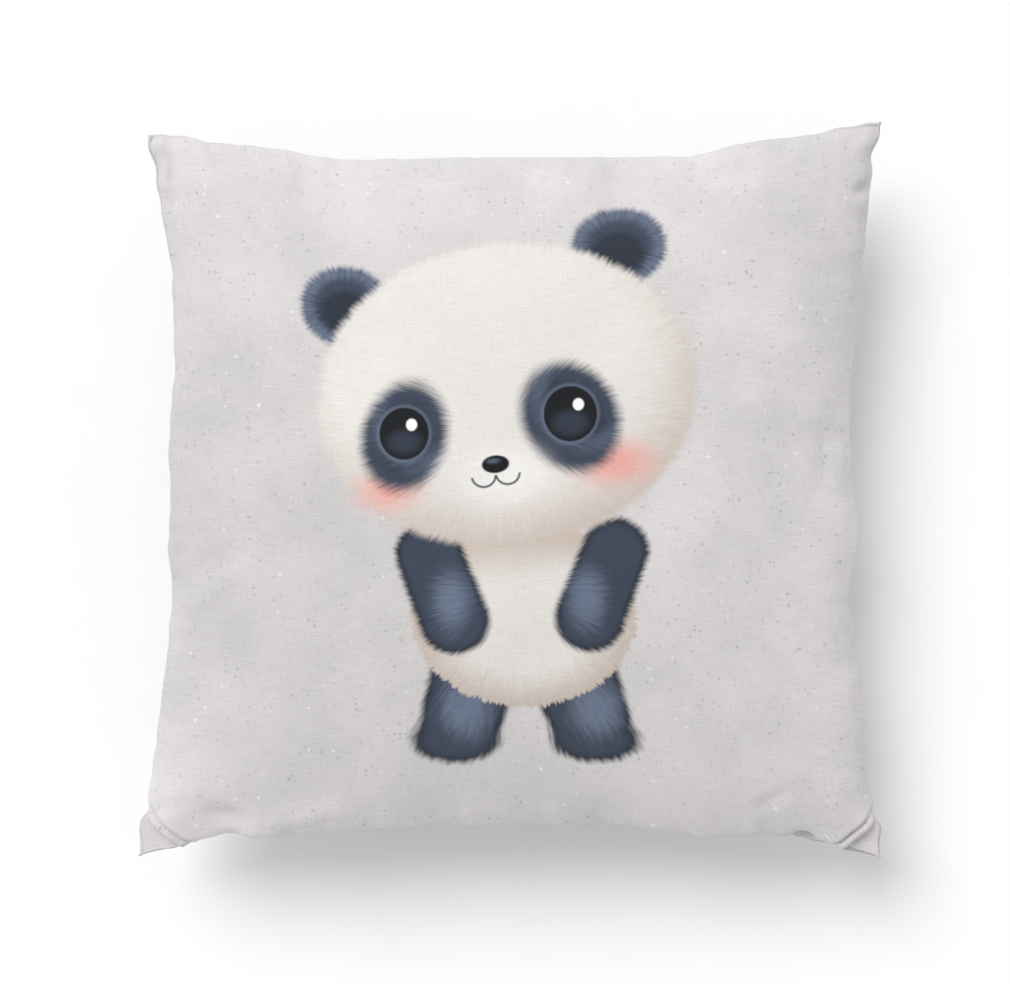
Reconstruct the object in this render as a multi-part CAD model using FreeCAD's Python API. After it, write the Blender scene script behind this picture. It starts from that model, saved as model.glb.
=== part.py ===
"""Square zipped throw cushion: printed cover, inner pad and a coil zip in the lower side seam.

The cushion lies on its back with the printed panel up. X runs along the zip, Y from the zip side to
the opposite side, and Z up. The origin is the centre of the flat patch that the cushion rests on.
All sizes are in millimetres.
"""
import FreeCAD
import Part

import math
import os

from FreeCAD import Vector

os.makedirs("parts", exist_ok=True)

# The filled cover. A cover sewn 450 square draws in when it is filled.
CORNER_X = 221.0        # centre to a corner tip, along X
CORNER_Y = 218.0        # centre to a corner tip, along Y
SIDE_PULL = 17.0        # how far the middle of a side draws in from the line between its corners
PULL_POWER = 2.5        # how suddenly a side flares out to its corners
SEAM_Z = 70.0           # height of the side seams above the surface the cushion lies on
FRONT_RISE = 80.0       # crown of the printed panel above the seams
BACK_DROP = 76.0        # crown of the back panel below the seams, before the surface flattens it
CROWN_POWER = 2.5       # 2 is an ellipse, more is a flatter middle with rounder sides
CROWN_PINCH = 0.25      # how much the crown thins towards the seams and corners

# Cloth, thread and layer clearances
PANEL_CLOTH = 1.0
LINING_CLOTH = 0.8
SEAM_GAP = 0.6          # the stitched seam keeps the two panels this far apart
THREAD = 0.6            # width of a seam's stitch line
LAYER_GAP = 0.5         # between cover and pad, and between lining and filling
PAD_SHORTFALL = 14.0    # how far the pad's own edge stays inside the cover's seam

# Zip, centred in the lower side seam (a number 3 nylon coil zip)
ZIP_STRAIGHT = 0.69     # share of the lower side that the zip holds straight
OPENING = 292.0         # length of the slot between the two hems
HEM_GAP = 7.0           # height of that slot
CHAIN_RECESS = 5.5      # how far the chain's middle sits behind the seam line
CHAIN_LENGTH = 280.0
COIL_HEIGHT = 1.8       # one coil row, across the chain
COIL_DEPTH = 1.8
COIL_SPLIT = 1.0        # room between the rows for the slider's divider
TAPE_LENGTH = 300.0
TAPE_CLOTH = 0.6
TAPE_FLAT = 5.0         # where each tape bends to follow the cover inwards
TAPE_EDGE = 12.0        # outer edge of each tape, from the chain's middle
TAPE_LEAN = 4.0         # how far that edge leans inwards
STOP_LENGTH = 2.0
STOP_GAP = 0.6          # between the coil's end and a stop

# Slider and pull
SLIDER_REST_X = 135.0
SLIDER_LENGTH = 9.0
SLIDER_MOUTH = 8.4      # width at the divider end
SLIDER_HEEL = 6.8       # width at the closing end
PLATE = 0.8
RUN_CLEARANCE = 0.3     # between the slider's plates and the chain or tape
LUG_LENGTH = 5.0
LUG_WIDTH = 1.2
LUG_HEIGHT = 2.4
LUG_WALL = 1.0
LUG_CREST = 0.8         # thickness of the arch over the pin
FLANGE_WALL = 0.6
DIVIDER = 0.5
PLATE_CORNER = 1.2
PIN_RADIUS = 0.45
PIN_HEIGHT = 0.9        # pin centre above the slider's front plate
PULL_LENGTH = 20.0
PULL_WIDTH = 5.5
PULL_THICK = 0.9
PULL_PLAY = 0.5         # side play of the pull on the lug
PULL_TIP_RADIUS = 2.5
PULL_HOLE_RADIUS = 1.1
PULL_HOLE_INSET = 3.2   # from the tip to the hole's centre

# Hem topstitching
STITCH_LENGTH = 2.6
STITCH_PITCH = 3.5
STITCH_RADIUS = 0.25
STITCH_Z = 6.0          # rows above and below the seam plane

GRID = 24               # surface spans along each side of a crowned layer
JOIN_TOLERANCE = 0.001
CHAIN_Y = -(CORNER_Y - SIDE_PULL) + CHAIN_RECESS
PLATE_FACE_Y = CHAIN_Y - COIL_DEPTH / 2 - RUN_CLEARANCE - PLATE
PIN_Y = PLATE_FACE_Y - PIN_HEIGHT


def side_share(along, straight=0.0):
    """Share of the pull-in at a point along a side: 1 in the middle, 0 at its corners."""
    reach = max(0.0, (abs(along) - straight) / (1.0 - straight))
    return 1.0 - reach ** PULL_POWER


def crown(along):
    """Height of a filled layer's section, from 1 in the middle to 0 at the seams."""
    return math.sqrt(max(0.0, 1.0 - abs(along) ** CROWN_POWER)) * (1.0 - CROWN_PINCH * along ** 2)


def layer_point(across, up, inset, rise, base_z):
    """Point of a crowned layer, where across and up run from -1 to 1 between its corners."""
    zip_hold = max(0.0, -up) ** 4
    share = zip_hold * side_share(across, ZIP_STRAIGHT) + (1.0 - zip_hold) * side_share(across)
    x = across * (CORNER_X - inset - SIDE_PULL * side_share(up))
    y = up * (CORNER_Y - inset - SIDE_PULL * share)
    return Vector(x, y, base_z + rise * crown(across) * crown(up))


def layer_face(inset, rise, base_z):
    """Curved face through the points of a crowned layer; a rise of 0 gives the flat outline."""
    steps = [math.sin(math.pi * (i / GRID - 0.5)) for i in range(GRID + 1)]
    points = [[layer_point(across, up, inset, rise, base_z) for up in steps] for across in steps]
    surface = Part.BSplineSurface()
    surface.interpolate(points)
    return surface.toShape()


def edge_face(face):
    """Plane face bounded by the same edges as a layer's face."""
    return Part.Face(Part.Wire(Part.__sortEdges__(face.Edges)))


def crowned_solid(inset, rise, base_z, rest_z=None):
    """Solid between a crowned layer and its seam plane, flattened where it rests on rest_z."""
    dome = layer_face(inset, rise, base_z)
    solid = Part.Solid(Part.Shell([dome, edge_face(dome)]))
    if solid.Volume < 0:
        solid.reverse()
    if rest_z is not None:
        below = Part.makeBox(600, 600, 100, Vector(-300, -300, rest_z - 100))
        solid = solid.cut(below)
    return solid


def outline_ring(inset, width, height, middle_z):
    """Thin ring that follows the seam line all the way round."""
    base_z = middle_z - height / 2
    up = Vector(0, 0, height)
    outer = edge_face(layer_face(inset, 0.0, base_z)).extrude(up)
    inner = edge_face(layer_face(inset + width, 0.0, base_z)).extrude(up)
    return outer.cut(inner)


def box(x_range, y_range, z_range):
    """Box between three pairs of limits."""
    lows = [min(pair) for pair in (x_range, y_range, z_range)]
    spans = [abs(pair[1] - pair[0]) for pair in (x_range, y_range, z_range)]
    return Part.makeBox(*spans, Vector(*lows))


def rounded(shape, radius):
    """The shape with all its edges rounded."""
    return shape.makeFillet(radius, shape.Edges)


def zip_slot():
    """Space between the two hems, which the zip closes."""
    heights = (SEAM_Z - HEM_GAP / 2, SEAM_Z + HEM_GAP / 2)
    return box((-OPENING / 2, OPENING / 2), (-CORNER_Y - 10, CHAIN_Y), heights)


def shell_layer(side, inset, top_rise, cloth, rest_z):
    """Cloth panel of one side (+1 front, -1 back), a closed solid one cloth thick."""
    base_z = SEAM_Z + side * SEAM_GAP / 2
    outer = crowned_solid(inset, side * top_rise, base_z, rest_z)
    inner_rest = None if rest_z is None else rest_z + cloth
    inner = crowned_solid(inset + cloth, side * (top_rise - cloth), base_z, inner_rest)
    return outer.cut(inner)


def filling():
    """The pad's loose filling, one soft solid inside the lining."""
    inset = PAD_SHORTFALL + LINING_CLOTH + LAYER_GAP
    used = PANEL_CLOTH + LINING_CLOTH + 2 * LAYER_GAP
    top = crowned_solid(inset, FRONT_RISE - used, SEAM_Z)
    bottom = crowned_solid(inset, -(BACK_DROP - used), SEAM_Z, used)
    return top.fuse(bottom, JOIN_TOLERANCE).removeSplitter()


def zip_tape(side):
    """One woven tape: flat behind its coil row, then leaning inwards behind the hem."""
    front = CHAIN_Y + COIL_DEPTH / 2
    section = [(front, COIL_SPLIT / 2), (front, TAPE_FLAT), (front + TAPE_LEAN, TAPE_EDGE)]
    section += [(y + TAPE_CLOTH, z) for y, z in reversed(section)]
    points = [Vector(-TAPE_LENGTH / 2, y, SEAM_Z + side * z) for y, z in section]
    return Part.Face(Part.makePolygon(points + points[:1])).extrude(Vector(TAPE_LENGTH, 0, 0))


def zip_coil(side):
    """One row of the nylon coil, as a rounded bar of the coil's outer size."""
    near = SEAM_Z + side * COIL_SPLIT / 2
    bar = box(
        (-CHAIN_LENGTH / 2, CHAIN_LENGTH / 2),
        (CHAIN_Y - COIL_DEPTH / 2, CHAIN_Y + COIL_DEPTH / 2),
        (near, near + side * COIL_HEIGHT),
    )
    return rounded(bar, 0.4)


def stop(x_side, z_range):
    """A small clamp on the chain, just past the end of the coil."""
    near = x_side * (CHAIN_LENGTH / 2 + STOP_GAP)
    depth = (CHAIN_Y - COIL_DEPTH / 2 - 0.2, CHAIN_Y + COIL_DEPTH / 2)
    return rounded(box((near, near + x_side * STOP_LENGTH), depth, z_range), 0.3)


def upright_edges(shape):
    """Straight edges of a flat piece that run through its thickness, along Y."""
    return [edge for edge in shape.Edges if abs(edge.tangentAt(edge.FirstParameter).y) > 0.99]


def slider_plate(y_face, thickness):
    """One plate of the slider, wider at the divider end."""
    half = SLIDER_LENGTH / 2
    heel = SLIDER_HEEL / 2
    mouth = SLIDER_MOUTH / 2
    corners = [(-half, -heel), (half, -mouth), (half, mouth), (-half, heel)]
    points = [Vector(SLIDER_REST_X + x, y_face, SEAM_Z + z) for x, z in corners]
    plate = Part.Face(Part.makePolygon(points + points[:1])).extrude(Vector(0, thickness, 0))
    return plate.makeFillet(PLATE_CORNER, upright_edges(plate))


def slider_flange(side):
    """Side wall that keeps one coil row between the plates, with the tape passing behind it."""
    half = SLIDER_LENGTH / 2 - PLATE_CORNER
    heel = SLIDER_HEEL / 2 - 0.15
    mouth = SLIDER_MOUTH / 2 - 0.35
    y_near = PLATE_FACE_Y + PLATE / 2
    y_far = CHAIN_Y + COIL_DEPTH / 2 - RUN_CLEARANCE
    corners = [(-half, heel - FLANGE_WALL), (half, mouth - FLANGE_WALL), (half, mouth), (-half, heel)]
    points = [Vector(SLIDER_REST_X + x, y_near, SEAM_Z + side * z) for x, z in corners]
    return Part.Face(Part.makePolygon(points + points[:1])).extrude(Vector(0, y_far - y_near, 0))


def slider_lug():
    """Arch on the slider's front plate, open across the zip for the pull's pin."""
    half = LUG_LENGTH / 2
    arch = box(
        (SLIDER_REST_X - half, SLIDER_REST_X + half),
        (PLATE_FACE_Y + PLATE / 2, PLATE_FACE_Y - LUG_HEIGHT),
        (SEAM_Z - LUG_WIDTH / 2, SEAM_Z + LUG_WIDTH / 2),
    )
    across = [edge for edge in arch.Edges if abs(edge.tangentAt(edge.FirstParameter).z) > 0.99]
    crest = [edge for edge in across if edge.CenterOfMass.y < PLATE_FACE_Y]
    window = box(
        (SLIDER_REST_X - half + LUG_WALL, SLIDER_REST_X + half - LUG_WALL),
        (PLATE_FACE_Y, PLATE_FACE_Y - LUG_HEIGHT + LUG_CREST),
        (SEAM_Z - LUG_WIDTH, SEAM_Z + LUG_WIDTH),
    )
    return arch.makeFillet(LUG_WALL, crest).cut(window)


def slider_body():
    """Slider: two plates joined by the divider, side walls, and the lug that holds the pull."""
    back_y = CHAIN_Y + COIL_DEPTH / 2 + TAPE_CLOTH + RUN_CLEARANCE
    mouth_x = SLIDER_REST_X + SLIDER_LENGTH / 2
    divider = box(
        (mouth_x - 2.0, mouth_x - 0.4),
        (PLATE_FACE_Y + PLATE / 2, back_y + PLATE / 2),
        (SEAM_Z - DIVIDER / 2, SEAM_Z + DIVIDER / 2),
    )
    body = slider_plate(PLATE_FACE_Y, PLATE).fuse(slider_plate(back_y, PLATE))
    for piece in (divider, slider_lug(), slider_flange(1), slider_flange(-1)):
        body = body.fuse(piece)
    return body.removeSplitter()


def pull_tab():
    """Pull: a flat tag whose pin passes through the slider's lug, lying along the closed chain."""
    pin_x = SLIDER_REST_X
    y_low = PIN_Y - PULL_THICK / 2
    through = (y_low - 1, y_low + PULL_THICK + 1)
    window_half = LUG_WIDTH / 2 + PULL_PLAY
    tag = box(
        (pin_x + PIN_RADIUS, pin_x - PULL_LENGTH),
        (y_low, y_low + PULL_THICK),
        (SEAM_Z - PULL_WIDTH / 2, SEAM_Z + PULL_WIDTH / 2),
    )
    tip = [edge for edge in upright_edges(tag) if edge.CenterOfMass.x < pin_x - PULL_LENGTH / 2]
    tag = tag.makeFillet(PULL_TIP_RADIUS, tip)
    window = box(
        (pin_x - PIN_RADIUS, pin_x - LUG_LENGTH / 2 - LUG_WALL),
        through,
        (SEAM_Z - window_half, SEAM_Z + window_half),
    )
    hole_centre = Vector(pin_x - PULL_LENGTH + PULL_HOLE_INSET, through[0], SEAM_Z)
    hole = Part.makeCylinder(PULL_HOLE_RADIUS, through[1] - through[0], hole_centre, Vector(0, 1, 0))
    return tag.cut(window).cut(hole)


def wall_y(x, height):
    """Y of the cover's lower side at a given x and height from the seam plane."""
    side = 1 if height > 0 else -1
    rise = FRONT_RISE if side > 0 else BACK_DROP
    low, high = -1.0, -0.5
    for _ in range(40):
        middle = (low + high) / 2
        across = x / (CORNER_X - SIDE_PULL * side_share(middle))
        point = layer_point(across, middle, 0.0, side * rise, SEAM_Z + side * SEAM_GAP / 2)
        if abs(point.z - SEAM_Z) < abs(height):
            low = middle
        else:
            high = middle
    return point.y


def topstitch_row(side):
    """One row of topstitches through a hem and its tape, each stitch a short thread on the cloth."""
    count = int(OPENING // STITCH_PITCH)
    stitches = []
    for i in range(count):
        x = (i - (count - 1) / 2) * STITCH_PITCH
        y = wall_y(x, side * STITCH_Z) - STITCH_RADIUS - 0.1
        start = Vector(x - STITCH_LENGTH / 2, y, SEAM_Z + side * STITCH_Z)
        stitches.append(Part.makeCylinder(STITCH_RADIUS, STITCH_LENGTH, start, Vector(1, 0, 0)))
    return Part.makeCompound(stitches)


def all_parts():
    """Every sub-part of the cushion, by node name."""
    slot = zip_slot()
    pad_rest = PANEL_CLOTH + LAYER_GAP
    pad_rise = FRONT_RISE - PANEL_CLOTH - LAYER_GAP
    pad_drop = BACK_DROP - PANEL_CLOTH - LAYER_GAP
    chain_top = COIL_SPLIT / 2 + COIL_HEIGHT
    return {
        "front_panel": shell_layer(1, 0.0, FRONT_RISE, PANEL_CLOTH, None).cut(slot),
        "back_panel": shell_layer(-1, 0.0, BACK_DROP, PANEL_CLOTH, 0.0).cut(slot),
        "cover_seam_thread": outline_ring(0.2, THREAD, SEAM_GAP, SEAM_Z).cut(slot),
        "pad_lining_front": shell_layer(1, PAD_SHORTFALL, pad_rise, LINING_CLOTH, None),
        "pad_lining_back": shell_layer(-1, PAD_SHORTFALL, pad_drop, LINING_CLOTH, pad_rest),
        "pad_seam_thread": outline_ring(PAD_SHORTFALL + 0.1, THREAD, SEAM_GAP, SEAM_Z),
        "pad_filling": filling(),
        "zip_tape_upper": zip_tape(1),
        "zip_tape_lower": zip_tape(-1),
        "zip_coil_upper": zip_coil(1),
        "zip_coil_lower": zip_coil(-1),
        "zip_top_stops": Part.makeCompound([
            stop(1, (SEAM_Z + side * 0.5, SEAM_Z + side * chain_top)) for side in (1, -1)
        ]),
        "zip_bottom_stop": stop(-1, (SEAM_Z - chain_top, SEAM_Z + chain_top)),
        "zip_topstitching_upper": topstitch_row(1),
        "zip_topstitching_lower": topstitch_row(-1),
        "zip_slider_body": slider_body(),
        "zip_pull_tab": pull_tab(),
    }


for node, shape in all_parts().items():
    verdict = "valid" if shape.isValid() else "INVALID"
    print(node, verdict, len(shape.Solids), "solids", round(shape.Volume, 1), "mm3")
    shape.exportStep("parts/" + node + ".step")
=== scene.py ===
"""Looks of a square zipped throw cushion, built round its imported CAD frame.

The cover is a cloth simulation of two 450 mm panels sewn together round the outside and stuffed.
Sizes are in metres in the row's frame: +Z up through the printed panel, +X along the zip and +Y
away from it. Cloth coordinates (a, b) run from -1 to 1 over a panel's flat square.
"""

import math

import bpy
import numpy as np
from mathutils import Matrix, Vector


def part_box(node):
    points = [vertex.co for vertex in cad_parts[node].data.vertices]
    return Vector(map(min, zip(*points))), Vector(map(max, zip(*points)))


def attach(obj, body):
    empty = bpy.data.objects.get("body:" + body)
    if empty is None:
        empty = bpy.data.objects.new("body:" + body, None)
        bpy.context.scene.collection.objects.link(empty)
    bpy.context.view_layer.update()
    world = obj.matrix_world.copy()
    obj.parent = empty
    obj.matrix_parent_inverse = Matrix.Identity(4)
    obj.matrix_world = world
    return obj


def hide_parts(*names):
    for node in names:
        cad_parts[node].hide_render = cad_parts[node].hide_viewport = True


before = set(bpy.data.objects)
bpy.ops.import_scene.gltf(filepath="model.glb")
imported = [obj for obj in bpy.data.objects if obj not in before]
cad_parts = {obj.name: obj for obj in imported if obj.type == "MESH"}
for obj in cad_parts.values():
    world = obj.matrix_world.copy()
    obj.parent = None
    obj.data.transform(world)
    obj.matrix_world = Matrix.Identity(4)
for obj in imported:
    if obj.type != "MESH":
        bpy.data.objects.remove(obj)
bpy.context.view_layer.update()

MM = 0.001
HALF_CLOTH = 0.225                    # half the finished side of the flat cover
CLOTH_THICK = 0.8 * MM
ALLOWANCE = 10 * MM                   # cloth turned in behind each seam
SEAM_GAP = 0.3 * MM                   # each panel's distance from the seam plane
PANEL_LOW, PANEL_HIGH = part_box("front_panel")
SEAM_Z = (PANEL_LOW.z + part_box("back_panel")[1].z) / 2
CORNER_X = PANEL_HIGH.x               # half spans between corner tips
CORNER_Y = PANEL_HIGH.y
RISE = PANEL_HIGH.z - SEAM_Z
DROP = 76 * MM                        # crown of the back panel before the floor flattens it
SIDE_PULL = 17 * MM                   # how far a filled side draws in between its corners
ZIP_HOLD = 0.69                       # share of the lower side that the zip holds straight
OPEN_HALF = 146 * MM                  # half the zip's opening
PULL_ROOM = 9 * MM                    # the slot's extra length beside the open slider
HEM_Z = 3.5 * MM                      # hem edges above and below the seam plane
STITCH_Z = 6.0 * MM                   # topstitching above and below the seam plane
COIL_LOW, COIL_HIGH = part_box("zip_coil_upper")
CHAIN_Y = (COIL_LOW.y + COIL_HIGH.y) / 2
CHAIN_HALF = COIL_HIGH.x

TAPE_HALF = 150 * MM                  # half a tape's length, without the extra at the pull's end
TAPE_THICK = 0.6 * MM
LINING_THICK = 0.5 * MM
TOPSTITCHES = 83                      # stitches in each row of topstitching
TOPSTITCH_PITCH = 3.5 * MM
TOPSTITCH_LENGTH = 2.7 * MM
COIL_PITCH = 1.27 * MM
FLOOR_HALF = 40                       # half the floor's side, past what any view sees

SIM_CELLS = 80                        # cells along a side of each simulated panel
SIM_FRAMES = 22                       # frames until the stuffed cover settles
PANEL_CELLS = 206                     # cells along a side of each finished panel


# ---------------------------------------------------------------- meshes

def object_from(name, points, faces):
    """New smooth mesh object from points and faces."""
    mesh = bpy.data.meshes.new(name)
    mesh.from_pydata(np.asarray(points, float).tolist(), [], [[int(i) for i in f] for f in faces])
    mesh.polygons.foreach_set("use_smooth", [True] * len(mesh.polygons))
    made = bpy.data.objects.new(name, mesh)
    bpy.context.scene.collection.objects.link(made)
    return made


def grid_faces(index):
    """Quads of a grid of vertex numbers."""
    corners = (index[:-1, :-1], index[1:, :-1], index[1:, 1:], index[:-1, 1:])
    return np.stack(corners, -1).reshape(-1, 4)


def rim(index):
    """Vertex numbers round a grid's outside, counter-clockwise from its first corner."""
    return np.concatenate([index[:-1, 0], index[-1, :-1], index[:0:-1, -1], index[0, :0:-1]])


def tubes(name, paths, radius, sides=6):
    """One mesh of round threads, each following its own row of points and tapering at its ends."""
    paths = np.asarray(paths, float)
    count, steps = paths.shape[:2]
    along = np.gradient(paths, axis=1)
    along /= np.linalg.norm(along, axis=2, keepdims=True)
    up = np.where(np.abs(along[..., 2:]) > 0.9, [[[1.0, 0, 0]]], [[[0, 0, 1.0]]])
    one = np.cross(along, up)
    one /= np.linalg.norm(one, axis=2, keepdims=True)
    two = np.cross(along, one)
    width = np.ones(steps)
    width[[0, -1]] = 0.35
    turn = np.arange(sides) * 2 * math.pi / sides
    ring = np.cos(turn)[:, None] * one[..., None, :] + np.sin(turn)[:, None] * two[..., None, :]
    points = paths[:, :, None] + ring * (radius * width)[None, :, None, None]
    index = np.arange(count * steps * sides).reshape(count, steps, sides)
    near, far = index[:, :-1], index[:, 1:]
    walls = np.stack([near, np.roll(near, -1, 2), np.roll(far, -1, 2), far], -1).reshape(-1, 4)
    caps = [*index[:, 0, ::-1].tolist(), *index[:, -1].tolist()]
    return object_from(name, points.reshape(-1, 3), [*walls.tolist(), *caps])


# ---------------------------------------------------------------- stuffed form

def side_share(along, straight=0.0):
    """Share of the pull-in left at a point along a side: 1 in its middle, 0 at its corners."""
    reach = np.maximum(0.0, (np.abs(along) - straight) / (1.0 - straight))
    return 1.0 - reach ** 2.5


def crown(along):
    """Section of a filled layer, from 1 in the middle to 0 at the seams."""
    return np.sqrt(np.maximum(0.0, 1.0 - np.abs(along) ** 2.5)) * (1.0 - 0.25 * along ** 2)


def filled_form(a, b, rise):
    """Points of a crowned layer before simulation, measured from the seam plane."""
    hold = np.maximum(0.0, -b) ** 4
    share = hold * side_share(a, ZIP_HOLD) + (1.0 - hold) * side_share(a)
    x = a * (CORNER_X - SIDE_PULL * side_share(b))
    y = b * (CORNER_Y - SIDE_PULL * share)
    return np.stack([x, y, rise * crown(a) * crown(b)], -1)


def soft_noise(shape, rounds, rng):
    """Smooth random field from -1 to 1, softer with more rounds of averaging."""
    field = rng.normal(size=shape)
    for _ in range(rounds):
        beside = np.roll(field, 1, 0) + np.roll(field, -1, 0)
        field = (field + beside + np.roll(field, 1, 1) + np.roll(field, -1, 1)) / 5
    return field / np.abs(field).max()


def simulate_cover():
    """Front and back panel points of the stuffed cover, from a pressure cloth simulation.

    Both panels start on the filled form and settle with the lengths of the flat cut, while the
    seam line between them is held to the filled outline.
    """
    lin = np.linspace(-1, 1, SIM_CELLS + 1)
    a, b = np.meshgrid(lin, lin, indexing="ij")
    rng = np.random.default_rng(11)
    start = [filled_form(a, b, rise) for rise in (0.94 * RISE, -0.94 * DROP)]
    for points in start:
        points[..., 2] += 2.5 * MM * soft_noise(a.shape, 45, rng) * crown(a) * crown(b)
    edge = (np.abs(a) == 1) | (np.abs(b) == 1)
    front = np.arange(a.size).reshape(a.shape)
    back = front.copy()
    back[~edge] = a.size + np.arange((~edge).sum())
    faces = np.vstack([grid_faces(front), grid_faces(back)[:, ::-1]])
    cover = object_from("cover_sim", np.vstack([start[0].reshape(-1, 3), start[1][~edge]]), faces)
    flat = np.stack([a, b, 0 * a], -1) * HALF_CLOTH
    cover.shape_key_add(name="Basis")
    cut = cover.shape_key_add(name="flat_cut")
    cut.data.foreach_set("co", np.vstack([flat.reshape(-1, 3), flat[~edge]]).ravel())
    seam = cover.vertex_groups.new(name="seam")
    seam.add([int(i) for i in front[edge]], 1.0, "REPLACE")
    cloth = cover.modifiers.new("cloth", "CLOTH")
    cloth.settings.rest_shape_key = cut
    cloth.settings.vertex_group_mass = "seam"
    cloth.settings.quality = 5
    cloth.settings.tension_stiffness = 15
    cloth.settings.compression_stiffness = 15
    cloth.settings.shear_stiffness = 5
    cloth.settings.bending_stiffness = 0.1
    cloth.settings.air_damping = 3
    cloth.settings.use_pressure = True
    cloth.settings.uniform_pressure_force = 3
    cloth.settings.effector_weights.gravity = 0
    cloth.collision_settings.use_collision = False
    cloth.point_cache.frame_end = SIM_FRAMES
    for step in range(1, SIM_FRAMES + 1):
        bpy.context.scene.frame_set(step)
    settled = cover.evaluated_get(bpy.context.evaluated_depsgraph_get()).data
    points = np.empty(len(settled.vertices) * 3)
    settled.vertices.foreach_get("co", points)
    points = points.reshape(-1, 3)
    bpy.data.objects.remove(cover)
    bpy.context.scene.frame_set(1)
    return [points[front], points[back]]


def cubic_weights(t):
    """Catmull-Rom weights of the four samples round a point."""
    return np.stack([
        -0.5 * t + t ** 2 - 0.5 * t ** 3,
        1 - 2.5 * t ** 2 + 1.5 * t ** 3,
        0.5 * t + 2 * t ** 2 - 1.5 * t ** 3,
        -0.5 * t ** 2 + 0.5 * t ** 3,
    ], -1)


def resample(grid, a, b):
    """Smooth values of an evenly spaced grid of points at cloth coordinates a, b."""
    cells = grid.shape[0] - 1
    wide = np.pad(grid, ((1, 1), (1, 1), (0, 0)), mode="reflect", reflect_type="odd")
    place = [np.clip((c + 1) / 2 * cells, 0, cells - 1e-9) for c in (a, b)]
    whole = [p.astype(int) for p in place]
    share_a, share_b = (cubic_weights(p - w) for p, w in zip(place, whole))
    out = np.zeros(a.shape + (3,))
    for i in range(4):
        for j in range(4):
            weight = share_a[..., i] * share_b[..., j]
            out += weight[..., None] * wide[whole[0] + i, whole[1] + j]
    return out


# ---------------------------------------------------------------- creases and seams

def smoothstep(low, high, value):
    """0 below low, 1 above high, smooth between."""
    t = np.clip((value - low) / (high - low), 0, 1)
    return t * t * (3 - 2 * t)


def hump(value, centre, width):
    """Smooth hump of height 1."""
    return np.exp(-((value - centre) / width) ** 2)


def ripple(along, lengths, seed):
    """Irregular wave along a seam, from -1 to 1, mixed from a few wavelengths."""
    rng = np.random.default_rng(seed)
    total = np.zeros_like(along)
    for length in lengths:
        first, second = rng.uniform(0, 2 * math.pi, 2)
        sway = 0.9 * np.sin(2 * math.pi * along / (3.3 * length) + second)
        total += np.sin(2 * math.pi * along / length + first + sway)
    return total / len(lengths)


def normals(points):
    """Unit normals of a grid of points."""
    across = np.cross(np.gradient(points, axis=0), np.gradient(points, axis=1))
    return across / (np.linalg.norm(across, axis=2, keepdims=True) + 1e-15)


def zip_share(x):
    """1 where the zip's slot is open between the hems, 0 past its ends.

    The end at the bottom stop reaches further, so that the pull still lies in the slot there.
    """
    end = np.where(x < 0, OPEN_HALF + PULL_ROOM, OPEN_HALF)
    return smoothstep(end + 4 * MM, end - 3 * MM, np.abs(x))


# Each seam draws in a little where the filling is slack: (place along the side, depth, width).
SLACK = {
    "left": [(0.142, 5.0, 0.044), (0.080, 4.5, 0.045), (-0.004, 2.6, 0.018),
             (-0.062, 4.0, 0.025), (-0.105, 2.2, 0.030)],
    "right": [(0.150, -1.8, 0.035), (0.050, 1.8, 0.035), (-0.022, -3.8, 0.018),
              (-0.066, 2.8, 0.022), (-0.125, -2.4, 0.025)],
    "top": [(-0.108, 2.8, 0.022), (-0.070, 3.5, 0.050), (0.030, 2.5, 0.050),
            (0.070, 2.2, 0.016), (0.108, 4.8, 0.022), (0.150, -1.2, 0.016)],
    "bottom": [(0.0, 3.5, 0.100)],
}
# How far each corner tip sits from the frame's corner: (side of x, side of y, inwards x, inwards y)
CORNER_DRIFT = [(-1, 1, 6.5, 6.5), (1, 1, 0.5, -1.0), (-1, -1, 0.5, 1.5), (1, -1, -0.5, 0.0)]


def side_distances(a, b):
    """For each side: distance from it along the cloth, place along it, and its inward axis."""
    x, y = a * HALF_CLOTH, b * HALF_CLOTH
    return {
        "left": (HALF_CLOTH + x, y, (1, 0, 0)),
        "right": (HALF_CLOTH - x, y, (-1, 0, 0)),
        "top": (HALF_CLOTH - y, x, (0, -1, 0)),
        "bottom": (HALF_CLOTH + y, x, (0, 1, 0)),
    }


def draw_tip(side, away, along):
    """How far a seam beside a corner tip moves inwards, in mm, fading into the panel."""
    to_tip = HALF_CLOTH - np.abs(along)
    if side == "bottom":
        out = 4.5 * hump(to_tip, 0.020, 0.016) + (3.2 + along / 0.15) * hump(to_tip, 0.045, 0.018)
        return -out * np.exp(-away / 0.030)
    waist = 1.6 * hump(to_tip, 0.021, 0.007)
    if side == "top":
        waist = -1.8 * hump(to_tip, 0.024, 0.010)
    upper = waist - 1.4 * hump(to_tip, 0.008, 0.006)
    lower = -3.4 * hump(to_tip, 0.023, 0.009)
    return np.where((side == "top") | (along > 0), upper, lower) * np.exp(-away / 0.010)


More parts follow.
